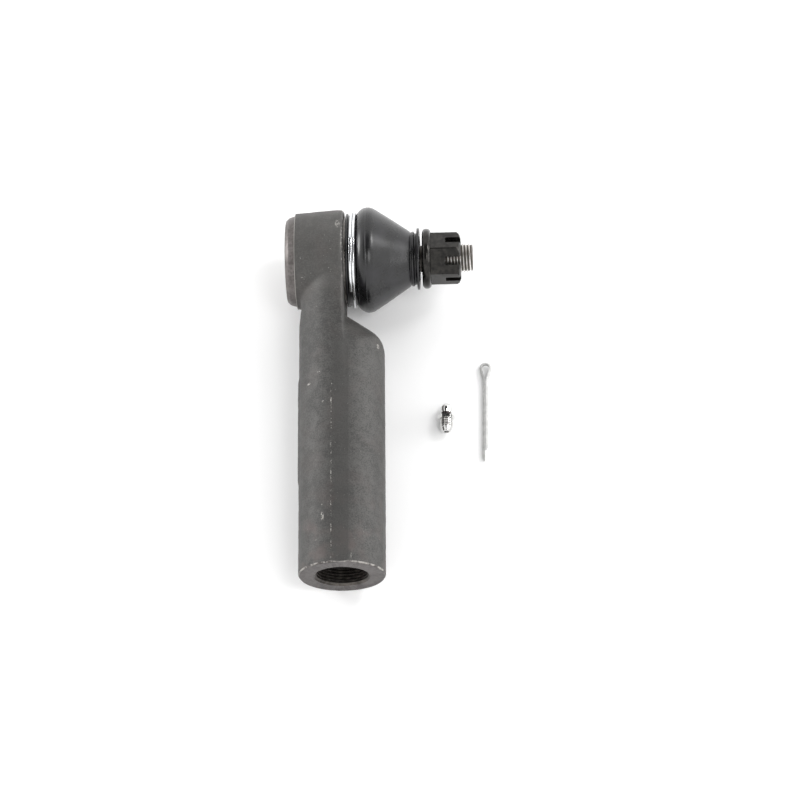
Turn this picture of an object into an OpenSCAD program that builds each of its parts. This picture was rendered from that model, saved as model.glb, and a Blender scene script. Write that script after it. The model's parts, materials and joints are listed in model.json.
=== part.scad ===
// Tie rod end: a forged housing with a ball joint at one end and a tapped barrel at the other.
// Millimetres. The origin is the ball's centre, +X runs along the stud to its tip, and the barrel
// runs along -Y. The part lies on its side, so +Z is up.

/* [Barrel] */
// Outside diameter of the barrel
barrel_d = 41.3; // [35:0.1:47]
// Distance from the ball's centre to the barrel's end face
barrel_reach = 163; // [130:1:200]
// Outside (major) diameter of the barrel's internal thread
barrel_thread_d = 26; // [20:0.5:30]
// Pitch of the barrel's internal thread
barrel_thread_pitch = 1.5; // [1:0.25:2]
// Depth of the tapped hole
barrel_thread_depth = 70; // [50:1:85]
// Angle of the shoulder between the head and the barrel
shoulder_angle = 35; // [25:1:42]
// Radius of the shoulder's rounded corner
shoulder_r = 15; // [6:0.5:18]

/* [Head] */
// Largest outside diameter of the forged head
head_d = 49.4; // [46:0.1:58]
// Distance from the ball's centre to the rolled lip's face
head_back = 26.7; // [25:0.1:34]
// Distance from the ball's centre to the head's front face
head_front = 1.5; // [1:0.1:3]
// Radius that the forging draft takes off the head towards its back
head_draft = 1.4; // [0.5:0.1:2]
// Outside diameter of the neck that carries the boot
neck_d = 41; // [38:0.1:45]
// Length of the boot's neck
neck_length = 6.9; // [5.5:0.1:9]
// Diameter of the bore that holds the bearings
socket_d = 36; // [34:0.1:38]

/* [End cap] */
// Diameter of the cover plate
cap_d = 39; // [37:0.1:41]
// Thickness of the cover plate
cap_t = 2.4; // [2:0.1:3.5]
// Thickness of the rolled lip over the cover plate
lip_t = 1.7; // [1.2:0.1:2.5]
// Diameter of the opening inside the rolled lip
lip_bore_d = 33; // [28:0.5:35]
// Tapping diameter of the grease hole
grease_hole_d = 5.5; // [5:0.1:7]
// Length of the boss around the grease hole, behind the plate
cap_boss_length = 1.9; // [1:0.1:2.5]

/* [Ball joint] */
// Diameter of the ball
ball_d = 28; // [26:0.5:29]
// Swing of the stud to each side
swing = 18; // [10:1:18]
// Thickness of the dished spring washer's steel
spring_t = 1.1; // [0.8:0.1:1.6]
// Height that the spring washer's cone adds
spring_rise = 1.3; // [0.8:0.1:2]

/* [Stud] */
// Diameter of the waist behind the ball
waist_d = 15.2; // [13:0.1:15.6]
// Diameter of the taper's large end
taper_d = 17.1; // [15.6:0.1:18]
// Distance from the ball's centre to the taper's large end
taper_start = 20; // [18:0.5:24]
// Length of the taper, which narrows by one in eight
taper_length = 17; // [12:0.5:20]
// Outside diameter of the stud's thread
stud_thread_d = 14.28; // [12:0.01:14.4]
// Distance from the ball's centre to the stud's tip
stud_reach = 63.6; // [58:0.1:76]
// Diameter of the cross hole for the cotter pin
cotter_hole_d = 3.2; // [2.8:0.1:3.6]
// Distance from the stud's tip to the cross hole
cotter_hole_inset = 8; // [6:0.1:9]

/* [Boot] */
// Largest diameter of the boot's bulge
boot_d = 51.2; // [50:0.1:62]
// Distance from the ball's centre to the boot's sealing lip
boot_reach = 38; // [36:0.5:46]
// Diameter of the boot's neck
boot_neck_d = 25.6; // [24:0.1:30]
// Diameter of the boot's sealing lip
boot_lip_d = 30; // [28:0.1:36]
// Thickness of the boot's wall
boot_wall = 2; // [1.5:0.1:2.5]

/* [Retaining ring] */
// Width of one turn of the flat wire
ring_wire_w = 1.35; // [1:0.05:1.6]
// Thickness of the flat wire
ring_wire_t = 1.6; // [1:0.1:2]

/* [Nut] */
// Width across the nut's flats
nut_af = 22.2; // [19:0.1:24]
// Length of the nut, with its flange
nut_length = 18.6; // [15:0.1:22]
// Diameter of the nut's flange
nut_flange_d = 29.2; // [27:0.1:34]
// Thickness of the nut's flange
nut_flange_t = 4.1; // [3:0.1:5]
// Distance from the nut's crown to the stud's tip
nut_inset = 5.8; // [4:0.1:9]
// Width of the nut's slots
slot_w = 4; // [3.6:0.1:5]
// Depth of the nut's slots
slot_depth = 7.4; // [6:0.1:8.5]
// Turn of the nut about the stud
nut_clock = 31; // [0:1:59]

/* [Cotter pin] */
// Diameter of the cotter pin's two legs together
cotter_d = 2.7; // [2.3:0.1:3.1]
// Overall length of the cotter pin
cotter_length = 51.7; // [40:0.1:60]
// Length by which one leg is longer than the other
cotter_leg_step = 6; // [3:0.1:8]
// Width of the cotter pin's eye
cotter_eye_w = 5.7; // [5.4:0.1:7]
// Length of the cotter pin's eye
cotter_eye_length = 9; // [7.5:0.1:10]

/* [Grease fitting] */
// Overall length of the grease fitting
fitting_length = 14.3; // [13:0.1:17]
// Diameter of the fitting's head
fitting_head_d = 5.7; // [5.4:0.1:6.8]
// Width across the flats of the fitting's hexagon
fitting_af = 7; // [6.6:0.1:8]
// Outside diameter of the fitting's thread
fitting_thread_d = 6.35; // [6:0.05:6.5]
// Diameter of the fitting's check ball
check_ball_d = 2.2; // [1.8:0.1:2.4]

/* [Loose pieces] */
// Distance of the grease fitting from the barrel's axis
fitting_x = 49.3; // [40:0.1:90]
// Distance of the grease fitting's head from the stud's axis
fitting_y = 68.9; // [60:0.1:120]
// Distance of the cotter pin from the barrel's axis
cotter_x = 68.7; // [60:0.1:110]
// Distance of the cotter pin's eye from the stud's axis
cotter_y = 46.4; // [44:0.1:90]
// Turn of the cotter pin away from the barrel's direction, on the surface that it lies on
cotter_turn = 0.9; // [0:0.1:4]

/* [Hidden] */

round_fn = 96;      // sides of a turned shape in the preview
small_fn = 48;      // sides of a small turned shape in the preview
seat_gap = 0.1;     // ball to bearing seat
push_gap = 0.05;    // pieces pushed together
thread_gap = 0.08;  // plain stand-ins of two mating threads
sleeve_gap = 0.1;   // stud to the sleeve in the boot's neck
rest_gap = 0.1;     // loose pieces above the surface that the part lies on
cut = 1;            // how far a cut runs past the surface that it opens

// Barrel and shoulder
barrel_r = barrel_d / 2;
barrel_tap_r = barrel_thread_d / 2 - 0.5413 * barrel_thread_pitch;
barrel_mouth_r = barrel_thread_d / 2 + 0.3;
barrel_mouth_depth = barrel_mouth_r - barrel_tap_r;
barrel_end_round = 0.8;
drill_point = barrel_tap_r * tan(31);
waist_inset = 1.3;   // how far the forging necks in between the head and the barrel
shoulder_top = head_d / 2 + 5.6;
shoulder_line_y = shoulder_top + (barrel_r - head_front) * tan(shoulder_angle);
shoulder_tangent = shoulder_r * tan((90 - shoulder_angle) / 2);
shoulder_end = shoulder_line_y + shoulder_tangent;

// Head, measured from the ball's centre along the stud
head_r = head_d / 2;
neck_r = neck_d / 2;
neck_end = head_front + neck_length;
socket_r = socket_d / 2;
cap_r = cap_d / 2;
cap_back = head_back - lip_t;
cap_front = cap_back - cap_t;
roll_start = head_back - 4.7;      // where the forged skin stops and the rolled lip begins
roll_step = 1.1;
roll_r = head_r - head_draft - roll_step;
lip_bore_r = lip_bore_d / 2;

// Ball, seats and the mouth that the stud swings in
ball_r = ball_d / 2;
seat_r = ball_r + seat_gap;
waist_r = waist_d / 2;
waist_start = sqrt(ball_r * ball_r - waist_r * waist_r);
corner_swing = acos(cos(swing) * cos(swing));
ball_flat = 1.2;                   // depth of the flat on the ball's back
seat_front = ball_r / 2;           // upper bearing's front face
upper_back = -0.6;
upper_wall_end = 2.6;
upper_front_r = 14.6 / 14 * ball_r;
ledge_start = seat_front + push_gap;
ledge_r = sqrt(seat_r * seat_r - seat_front * seat_front) + 0.5;
mouth_r = 1.1 + waist_start * sin(corner_swing) + waist_r * cos(corner_swing)
    + (neck_end - waist_start * cos(corner_swing) + waist_r * sin(corner_swing)) * tan(corner_swing);

// Lower bearing, spring washer
lower_front = -3.5;
spring_room = spring_t + spring_rise + 2 * push_gap;
lower_back = spring_room - cap_front;
lower_bore_r = 6;
spring_outer_r = socket_r - 1.2;
spring_inner_r = 9;
spring_back = -cap_front + push_gap;

// Stud
taper_r = taper_d / 2;
taper_end = taper_start + taper_length;
taper_end_r = taper_r - taper_length / 16;
stud_thread_r = stud_thread_d / 2;
stud_chamfer = 1.2;
cotter_hole_x = stud_reach - cotter_hole_inset;
cotter_clock = nut_clock + 60;

// Boot and its rings
boot_r = boot_d / 2;
boot_neck_r = boot_neck_d / 2;
boot_lip_r = boot_lip_d / 2;
bead_start = head_front + 1;
bead_t = 1.3;
groove_r = neck_r + push_gap + bead_t;
ring_start = bead_start + 1.6;
ring_end = ring_start + 2 * ring_wire_w;
ring_outer_r = groove_r + push_gap + ring_wire_t;
bulge_r = 6;
bulge_x = neck_end + 4.6;
cone_start = bulge_x + 5.6;
cone_start_r = boot_r - 2.3;
cone_end = boot_reach - 4.6;
lip_start = boot_reach - 1.4;
sleeve_inner_r = taper_r - (cone_end - taper_start) / 16 + sleeve_gap;
sleeve_outer_r = sleeve_inner_r + 1.5;

// Nut
nut_end = stud_reach - nut_inset;
nut_start = nut_end - nut_length;
nut_bore_r = stud_thread_r + thread_gap;
nut_flange_r = nut_flange_d / 2;
nut_corner_r = nut_af / sqrt(3);

// The plane that the part lies on touches the head and the barrel's end, so it tilts about X.
// rest_z is its height, or that of a line parallel to it, at a distance along -Y.
rest_tilt = asin(head_r / norm([barrel_reach, barrel_r])) - atan2(barrel_r, barrel_reach);
function rest_z(along, lift) = (lift - head_r) / cos(rest_tilt) + along * tan(rest_tilt);

// Grease fitting, measured back from its head
fitting_head_r = fitting_head_d / 2;
fitting_waist_r = fitting_head_r - 0.5;
fitting_hex_start = 5.9;
fitting_hex_end = 7.8;
fitting_thread_r = fitting_thread_d / 2;
check_ball_r = check_ball_d / 2;
fitting_bore_r = check_ball_r + 0.15;
fitting_mouth_r = check_ball_r - 0.25;
ball_seat_start = 0.7;             // where the bore begins to widen behind its mouth
ball_seat_end = 1.3;
ball_seat_angle = atan2(fitting_bore_r - fitting_mouth_r, ball_seat_end - ball_seat_start);
check_ball_depth = ball_seat_start
    + (check_ball_r + push_gap - fitting_mouth_r * cos(ball_seat_angle)) / sin(ball_seat_angle);
fitting_ledge = fitting_length - 1.8;
fitting_lowest_r = fitting_af / 2;

// Cotter pin
cotter_r = cotter_d / 2;
cotter_wire_t = 1.1;
cotter_slit = 0.1;

// Turns a profile of [distance along +X, radius] points about the stud's axis
module turned(profile, sides = round_fn) {
    rotate([0, 90, 0]) rotate_extrude($fn = sides) polygon([for (p = profile) [p[1], p[0]]]);
}

// Turns a profile of [distance along -Y, radius] points about the barrel's axis
module turned_down(profile, sides = round_fn) {
    rotate([90, 0, 0]) rotate_extrude($fn = sides) polygon([for (p = profile) [p[1], p[0]]]);
}

// Points of an arc, as [x, y]
function arc(centre, r, from, to, steps) =
    [for (i = [0:steps]) let (a = from + (to - from) * i / steps) centre + r * [cos(a), sin(a)]];

// Outline of the forging from the head down to the plain barrel, seen from above
module shoulder_outline() {
    side = -barrel_r + waist_inset;
    polygon(concat(
        [
            [side, -head_r / 2],
            [head_front, -head_r / 2],
            [head_front, -shoulder_top]
        ],
        arc([barrel_r - shoulder_r, -shoulder_end], shoulder_r, 90 - shoulder_angle, 0, 8),
        [
            [barrel_r, -shoulder_end - cut],
            [-barrel_r, -shoulder_end - cut],
            [-barrel_r, -head_r - 11],
            [side, -head_r - 4]
        ]
    ));
}

// What the shoulder keeps of the barrel: all of it beside the head, and beyond the head's front only
// what lies under a round ridge along the shoulder's slanting line
module shoulder_dome() {
    ridge_r = barrel_r + 1;
    reach = 3 * barrel_d;
    translate([-barrel_d, -reach, -barrel_d]) cube([barrel_d + head_front, reach, 2 * barrel_d]);
    translate([head_front, -shoulder_top, 0]) rotate([0, 0, -shoulder_angle]) {
        translate([-reach, -ridge_r, 0]) rotate([0, 90, 0])
            cylinder(r = ridge_r, h = 2 * reach, $fn = round_fn);
        translate([-reach, -ridge_r - reach, -barrel_d]) cube([2 * reach, reach, 2 * barrel_d]);
    }
}

module forged_skin() {
    turned([
        [-head_back, 0],
        [-head_back, roll_r - 2.4],
        [-head_back + 0.4, roll_r - 1.6],
        [-head_back + 1.5, roll_r - 0.5],
        [-roll_start, roll_r],
        [-roll_start, head_r - head_draft],
        [head_front - 2.6, head_r],
        [head_front - 0.6, head_r - 0.5],
        [head_front, head_r - 1.5],
        [head_front, neck_r],
        [neck_end - 0.4, neck_r],
        [neck_end, neck_r - 0.4],
        [neck_end, 0]
    ]);
    intersection() {
        rotate([90, 0, 0]) cylinder(r = barrel_r, h = shoulder_end + cut, $fn = round_fn);
        translate([0, 0, -barrel_d]) linear_extrude(2 * barrel_d) shoulder_outline();
        shoulder_dome();
    }
    turned_down([
        [shoulder_end, 0],
        [shoulder_end, barrel_r],
        [barrel_reach - barrel_end_round, barrel_r],
        [barrel_reach, barrel_r - barrel_end_round],
        [barrel_reach, 0]
    ]);
}

module housing() {
    color([0.33, 0.32, 0.31]) difference() {
        forged_skin();
        // Socket, from the rolled lip to the flared mouth
        turned([
            [-head_back - cut, 0],
            [-head_back - cut, lip_bore_r],
            [-cap_back, lip_bore_r],
            [-cap_back, cap_r + push_gap],
            [-cap_front, cap_r + push_gap],
            [-cap_front, socket_r],
            [upper_wall_end + push_gap, socket_r],
            [ledge_start, upper_front_r + push_gap],
            [ledge_start, ledge_r],
            [neck_end, mouth_r],
            [neck_end + cut, mouth_r + cut],
            [neck_end + cut, 0]
        ]);
        // Tapped hole, with its chamfered mouth and drill point
        turned_down([
            [barrel_reach - barrel_thread_depth - drill_point, 0],
            [barrel_reach - barrel_thread_depth, barrel_tap_r],
            [barrel_reach - barrel_mouth_depth, barrel_tap_r],
            [barrel_reach, barrel_mouth_r],
            [barrel_reach + cut, barrel_mouth_r],
            [barrel_reach + cut, 0]
        ]);
    }
}

module end_cap() {
    boss_r = grease_hole_d / 2 + 2;
    color([0.42, 0.40, 0.38]) turned([
        [-cap_back + push_gap, grease_hole_d / 2],
        [-cap_back + push_gap, cap_r],
        [-cap_front - push_gap, cap_r],
        [-cap_front - push_gap, boss_r],
        [-cap_front + cap_boss_length, boss_r],
        [-cap_front + cap_boss_length, grease_hole_d / 2]
    ]);
}

module preload_spring() {
    color([0.35, 0.37, 0.42]) turned([
        [spring_back + spring_rise, spring_inner_r],
        [spring_back, spring_outer_r],
        [spring_back + spring_t, spring_outer_r],
        [spring_back + spring_t + spring_rise, spring_inner_r]
    ]);
}

module lower_bearing() {
    color([0.60, 0.52, 0.38]) difference() {
        turned([
            [lower_back, lower_bore_r],
            [lower_back, socket_r - push_gap - 1],
            [lower_back + 1, socket_r - push_gap],
            [lower_front, socket_r - push_gap],
            [lower_front, lower_bore_r]
        ]);
        sphere(seat_r, $fn = round_fn);
    }
}

module upper_bearing() {
    color([0.60, 0.52, 0.38]) difference() {
        turned([
            [upper_back, ball_r / 2],
            [upper_back, socket_r - push_gap],
            [upper_wall_end, socket_r - push_gap],
            [seat_front, upper_front_r],
            [seat_front, ball_r / 2]
        ]);
        sphere(seat_r, $fn = round_fn);
    }
}

module ball_stud() {
    color([0.66, 0.64, 0.60]) difference() {
        union() {
            sphere(ball_r, $fn = round_fn);
            turned([
                [0, 0],
                [0, waist_r],
                [waist_start + 3, waist_r],
                [taper_start, taper_r],
                [taper_end, taper_end_r],
                [taper_end + 0.6, stud_thread_r],
                [stud_reach - stud_chamfer, stud_thread_r],
                [stud_reach, stud_thread_r - stud_chamfer],
                [stud_reach, 0]
            ]);
        }
        translate([-ball_r - cut, -ball_r, -ball_r]) cube([ball_flat + cut, ball_d, ball_d]);
        translate([cotter_hole_x, 0, 0]) rotate([cotter_clock, 0, 0])
            cylinder(r = cotter_hole_d / 2, h = 2 * stud_thread_d, center = true, $fn = small_fn);
    }
}

module dust_boot() {
    color([0.10, 0.10, 0.11]) difference() {
        turned(concat(
            [
                [bead_start, neck_r + push_gap],
                [bead_start, groove_r + 0.5],
                [bead_start + 0.5, groove_r + 0.9],
                [bead_start + 1.1, groove_r + 0.6],
                [ring_start - 0.4, groove_r],
                [ring_end + push_gap, groove_r],
                [ring_end + push_gap, groove_r + 0.3]
            ],
            arc([bulge_x, boot_r - bulge_r], bulge_r, 150, 62, 8),
            [
                [cone_start, cone_start_r],
                [cone_end, boot_neck_r + 0.4],
                [cone_end + 1.2, boot_neck_r],
                [lip_start - 0.8, boot_neck_r],
                [lip_start, boot_neck_r - 0.4],
                [lip_start + 0.1, boot_lip_r],
                [boot_reach - 0.1, boot_lip_r],
                [boot_reach, boot_neck_r - 1],
                [boot_reach, sleeve_outer_r + push_gap],
                [cone_end - 1, sleeve_outer_r + push_gap],
                [cone_start, cone_start_r - boot_wall - 0.3]
            ],
            arc([bulge_x, boot_r - bulge_r], bulge_r - boot_wall, 62, 120, 4),
            [
                [neck_end + 0.4, groove_r - 0.4],
                [neck_end + 0.4, neck_r + push_gap]
            ]
        ));
        // The rubber lies flat where the part's weight rests on it
        translate([0, 0, rest_z(0, 0)]) rotate([-rest_tilt, 0, 0])
            translate([0, 0, -boot_r]) cube([4 * boot_r, 4 * boot_r, 2 * boot_r], center = true);
    }
}

module boot_retaining_ring() {
    seam = 0.25;
    middle = ring_start + ring_wire_w;
    inner_r = groove_r + push_gap;
    color([0.85, 0.86, 0.88]) turned([
        [ring_start, inner_r],
        [ring_start, ring_outer_r - seam],
        [ring_start + seam, ring_outer_r],
        [middle - seam, ring_outer_r],
        [middle, ring_outer_r - seam],
        [middle + seam, ring_outer_r],
        [ring_end - seam, ring_outer_r],
        [ring_end, ring_outer_r - seam],
        [ring_end, inner_r]
    ]);
}

module boot_neck_ring() {
    color([0.45, 0.45, 0.46]) turned([
        [cone_end, sleeve_inner_r],
        [cone_end, sleeve_outer_r],
        [boot_reach, sleeve_outer_r],
        [boot_reach, sleeve_inner_r]
    ]);
}

module slotted_nut() {
    crown_chamfer = 1.8;
    rim = 1.3;
    color([0.13, 0.13, 0.13]) difference() {
        union() {
            turned([
                [nut_start, 0],
                [nut_start, nut_flange_r - rim],
                [nut_start + 0.4, nut_flange_r - 0.4],
                [nut_start + rim, nut_flange_r],
                [nut_start + nut_flange_t - rim, nut_flange_r],
                [nut_start + nut_flange_t - 0.4, nut_flange_r - 0.4],
                [nut_start + nut_flange_t, nut_flange_r - rim],
                [nut_start + nut_flange_t, 0]
            ]);
            intersection() {
                translate([nut_start, 0, 0]) rotate([nut_clock, 0, 0]) rotate([0, 90, 0])
                    rotate([0, 0, 30]) cylinder(r = nut_corner_r, h = nut_length, $fn = 6);
                turned([
                    [nut_start, 0],
                    [nut_start, nut_corner_r + cut],
                    [nut_end - crown_chamfer, nut_corner_r + cut],
                    [nut_end - crown_chamfer, nut_corner_r],
                    [nut_end, nut_corner_r - crown_chamfer],
                    [nut_end, 0]
                ]);
            }
        }
        translate([nut_start - cut, 0, 0]) rotate([0, 90, 0])
            cylinder(r = nut_bore_r, h = nut_length + 2 * cut, $fn = round_fn);
        for (turn = [0, 60, 120])
            rotate([nut_clock + turn, 0, 0])
                translate([nut_end - slot_depth, -slot_w / 2, -nut_flange_d])
                    cube([slot_depth + cut, slot_w, 2 * nut_flange_d]);
    }
}

// The pin lies along -Y with its eye at local [0, 0, 0]. Its two legs are half round.
module cotter_pin() {
    eye_r = cotter_eye_w / 2;
    eye_inner_r = eye_r - cotter_wire_t;
    eye_y = -eye_r;
    short_leg = cotter_length - cotter_leg_step;
    lean = asin((eye_r - cotter_r) / (cotter_eye_length - eye_r));
    color([0.62, 0.62, 0.61])
    translate([cotter_x, -cotter_y, rest_z(cotter_y, cotter_r + rest_gap)])
    rotate([-rest_tilt, 0, 0]) rotate([0, 0, -cotter_turn]) difference() {
        union() {
            translate([0, 0, -cotter_r * 0.85]) linear_extrude(2 * cotter_r * 0.85) difference() {
                polygon(concat(arc([0, eye_y], eye_r, -lean, 180 + lean, 20), [
                    [-cotter_r, -cotter_eye_length],
                    [cotter_r, -cotter_eye_length]
                ]));
                polygon(concat(arc([0, eye_y], eye_inner_r, -lean, 180 + lean, 20), [
                    [-cotter_slit / 2, -cotter_eye_length + 0.6],
                    [cotter_slit / 2, -cotter_eye_length + 0.6]
                ]));
            }
            translate([0, -cotter_eye_length + 0.6, 0]) rotate([90, 0, 0])
                cylinder(r = cotter_r, h = cotter_length - cotter_eye_length - 0.6, $fn = small_fn);
        }
        translate([-cotter_slit / 2, -cotter_length - cut, -cotter_d])
            cube([cotter_slit, cotter_length - cotter_eye_length + cut + 0.7, 2 * cotter_d]);
        translate([0, -cotter_length - cut, -cotter_d])
            cube([cotter_d, cotter_length - short_leg + cut, 2 * cotter_d]);
    }
}

// Puts a piece that is drawn along -Y from the fitting's head into the fitting's place
module at_fitting() {
    translate([fitting_x, -fitting_y, rest_z(fitting_y, fitting_lowest_r + rest_gap)])
        rotate([-rest_tilt, 0, 0]) children();
}

module grease_fitting() {
    hex_r = fitting_af / sqrt(3);
    root_r = fitting_thread_r - 0.5;
    color([0.84, 0.85, 0.87]) at_fitting() difference() {
        union() {
            turned_down([
                [0, 0],
                [0, fitting_mouth_r + 0.5],
                [0.6, fitting_head_r - 0.7],
                [1.6, fitting_head_r - 0.15],
                [2.4, fitting_head_r],
                [3.2, fitting_head_r - 0.15],
                [4.2, fitting_waist_r],
                [fitting_hex_start, fitting_waist_r],
                [fitting_hex_start, 0]
            ], small_fn);
            translate([0, -fitting_hex_start + 0.1, 0]) rotate([90, 0, 0])
                cylinder(r = hex_r, h = fitting_hex_end - fitting_hex_start, $fn = 6);
            turned_down([
                [fitting_hex_end - 0.2, 0],
                [fitting_hex_end - 0.2, root_r],
                [fitting_hex_end + 0.4, fitting_thread_r],
                [fitting_length - 2.2, fitting_thread_r - 0.15],
                [fitting_length, fitting_thread_r - 1.2],
                [fitting_length, 0]
            ], small_fn);
        }
        turned_down([
            [-cut, 0],
            [-cut, fitting_mouth_r],
            [ball_seat_start, fitting_mouth_r],
            [ball_seat_end, fitting_bore_r],
            [fitting_ledge, fitting_bore_r],
            [fitting_ledge, fitting_mouth_r],
            [fitting_ledge + 0.5, fitting_mouth_r],
            [fitting_ledge + 0.5, fitting_bore_r],
            [fitting_length + cut, fitting_bore_r],
            [fitting_length + cut, 0]
        ], small_fn);
    }
}

module fitting_check_ball() {
    color([0.9, 0.9, 0.92]) at_fitting() translate([0, -check_ball_depth, 0])
        sphere(check_ball_r, $fn = small_fn);
}

// A closed coil drawn as one swept hexagonal wire
module fitting_spring() {
    wire_r = 0.16;
    coil_r = fitting_bore_r - wire_r - 0.1;
    start = check_ball_depth + check_ball_r + wire_r;
    length = fitting_ledge - push_gap - start - wire_r;
    turns = 9;
    steps = 14;
    sides = 6;
    rings = turns * steps;
    points = [
        for (i = [0:rings], k = [0:sides - 1])
            let (
                a = 360 * i / steps,
                b = 360 * k / sides,
                r = coil_r + wire_r * cos(b)
            )
            [r * cos(a), -(start + length * i / rings + wire_r * sin(b)), r * sin(a)]
    ];
    skin = [
        for (i = [0:rings - 1], k = [0:sides - 1])
            let (n = (k + 1) % sides)
            [i * sides + k, i * sides + n, (i + 1) * sides + n, (i + 1) * sides + k]
    ];
    ends = [
        [for (k = [0:sides - 1]) sides - 1 - k],
        [for (k = [0:sides - 1]) rings * sides + k]
    ];
    color([0.55, 0.57, 0.60]) at_fitting() polyhedron(points, concat(skin, ends), convexity = 10);
}

housing();
end_cap();
preload_spring();
lower_bearing();
upper_bearing();
ball_stud();
dust_boot();
boot_retaining_ring();
boot_neck_ring();
slotted_nut();
cotter_pin();
grease_fitting();
fitting_check_ball();
fitting_spring();
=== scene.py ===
# %% [markdown]
# # A tie rod end, from the forging to the split pin
#
# A tie rod end joins a car's steering linkage to the wheel. A ball on a tapered stud swings in a
# forged housing, a rubber boot keeps the grease in, and a long tapped barrel screws onto the rod.
# The sizes and the moving parts come from a imported CAD model, which is loaded first and never
# moved. Everything that shows is then modelled again in finer detail around it: threads, worn
# edges, a two-piece rubber boot, and a finish for every metal.

# %% Load the frame
import json
from math import asin, atan2, cos, degrees, hypot, pi, radians, sin, sqrt, tan, tau

import bpy
from mathutils import Matrix, Vector


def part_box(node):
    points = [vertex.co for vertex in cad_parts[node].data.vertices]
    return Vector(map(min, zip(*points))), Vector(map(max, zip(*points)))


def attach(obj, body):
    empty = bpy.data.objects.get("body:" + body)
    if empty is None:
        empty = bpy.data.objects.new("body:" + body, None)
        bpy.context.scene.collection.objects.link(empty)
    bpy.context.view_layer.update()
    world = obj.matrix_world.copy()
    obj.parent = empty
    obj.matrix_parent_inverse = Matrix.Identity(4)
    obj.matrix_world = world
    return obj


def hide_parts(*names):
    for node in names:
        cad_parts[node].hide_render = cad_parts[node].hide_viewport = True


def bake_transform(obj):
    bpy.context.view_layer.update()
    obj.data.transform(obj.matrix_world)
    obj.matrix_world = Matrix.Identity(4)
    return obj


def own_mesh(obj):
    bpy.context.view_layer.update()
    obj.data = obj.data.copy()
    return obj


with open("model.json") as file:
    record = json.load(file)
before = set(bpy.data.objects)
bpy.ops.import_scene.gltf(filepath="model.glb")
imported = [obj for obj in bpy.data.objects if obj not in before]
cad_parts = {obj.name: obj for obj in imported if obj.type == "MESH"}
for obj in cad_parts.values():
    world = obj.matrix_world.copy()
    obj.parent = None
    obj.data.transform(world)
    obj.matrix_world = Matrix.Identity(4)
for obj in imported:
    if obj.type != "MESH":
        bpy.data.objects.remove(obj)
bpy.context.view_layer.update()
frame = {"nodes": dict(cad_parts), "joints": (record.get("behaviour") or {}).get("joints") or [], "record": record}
print("CAD nodes:", ", ".join(sorted(frame["nodes"])))

# %% [markdown]
# ## Sizes
#
# Blender works in metres here, but a part like this is thought of in millimetres. So every size
# below is a plain number of millimetres, and the helpers turn it into metres at the last moment.
# Sizes that the CAD model already holds are read from its nodes and mounts, so a longer barrel in
# the CAD gives a longer barrel here. The origin is the ball's centre, X runs along the stud, and
# the barrel points along -Y.

# %% Sizes read from the CAD nodes
MM = 0.001


def span(node, axis):
    """Lowest and highest place of a CAD node along an axis, in millimetres."""
    low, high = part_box(node)
    index = "XYZ".index(axis)
    return low[index] / MM, high[index] / MM


mounts = {mount["name"]: mount for mount in frame["record"]["mounts"]}
head_back = -span("housing", "X")[0]
neck_end = 8.4
barrel_r = span("housing", "X")[1]
head_r = span("housing", "Y")[1]
barrel_reach = -span("housing", "Y")[0]
tap_r = mounts["barrel_thread"]["dims"]["r_mm"]
grease_tap_r = mounts["grease_port"]["dims"]["r_mm"]
stud_reach = span("ball_stud", "X")[1]
boot_r = span("dust_boot", "Y")[1]
boot_back, boot_reach = span("dust_boot", "X")
ring_back, ring_front = span("boot_retaining_ring", "X")
nut_back, nut_front = span("slotted_nut", "X")
print(f"head {2 * head_r:.1f} mm across, barrel {2 * barrel_r:.1f} mm across, reach {barrel_reach:.1f} mm")

# %% [markdown]
# ## Working by hand, in code
#
# Each piece is made with the operators that a person would click: add a primitive, extrude, spin,
# bevel, then apply a modifier. Operators act on whatever is selected, and loading the frame leaves
# every CAD node selected, so each step starts by selecting nothing at all.

# %% Selecting and modifying
def bare():
    """Back to object mode with nothing selected."""
    if bpy.context.object and bpy.context.object.mode == "EDIT":
        bpy.ops.object.mode_set(mode="OBJECT")
    bpy.ops.object.select_all(action="DESELECT")


def pick(*pieces):
    """Selects these pieces only and makes the first one active."""
    bare()
    for piece in pieces:
        piece.select_set(True)
    bpy.context.view_layer.objects.active = pieces[0]


def modify(piece, kind, **settings):
    """Adds a modifier with its settings and applies it."""
    pick(piece)
    modifier = piece.modifiers.new(kind.title(), kind)
    for setting, value in settings.items():
        setattr(modifier, setting, value)
    bpy.ops.object.modifier_apply(modifier=modifier.name)
    return piece


def carve(piece, *tools, how="DIFFERENCE"):
    """Cuts tools out of a piece, adds them to it or keeps what they share, and removes the tools."""
    for tool in tools:
        modify(piece, "BOOLEAN", object=tool, operation=how, solver="MANIFOLD")
        bpy.data.objects.remove(tool)
    return piece


def place(piece, move=(0, 0, 0), turn=(0, 0, 0)):
    """Turns a piece, in degrees, then moves it, in millimetres, and keeps both in its mesh."""
    pick(piece)
    piece.rotation_euler = [radians(angle) for angle in turn]
    piece.location = Vector(move) * MM
    bpy.ops.object.transform_apply()
    return piece


# %% [markdown]
# ## Turned shapes
#
# Most of this part was turned or forged round: the head, the boot, the stud, the nut's flange. On
# a lathe only half of the section matters, so a turned piece starts as a line of points, each a
# distance along the axis and a radius. One vertex is extruded from point to point, and the line is
# spun all the way round. Where both ends are off the axis, the line is closed on itself, which
# makes a ring with a bore. A third number on a point rounds that corner with an arc.

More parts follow.
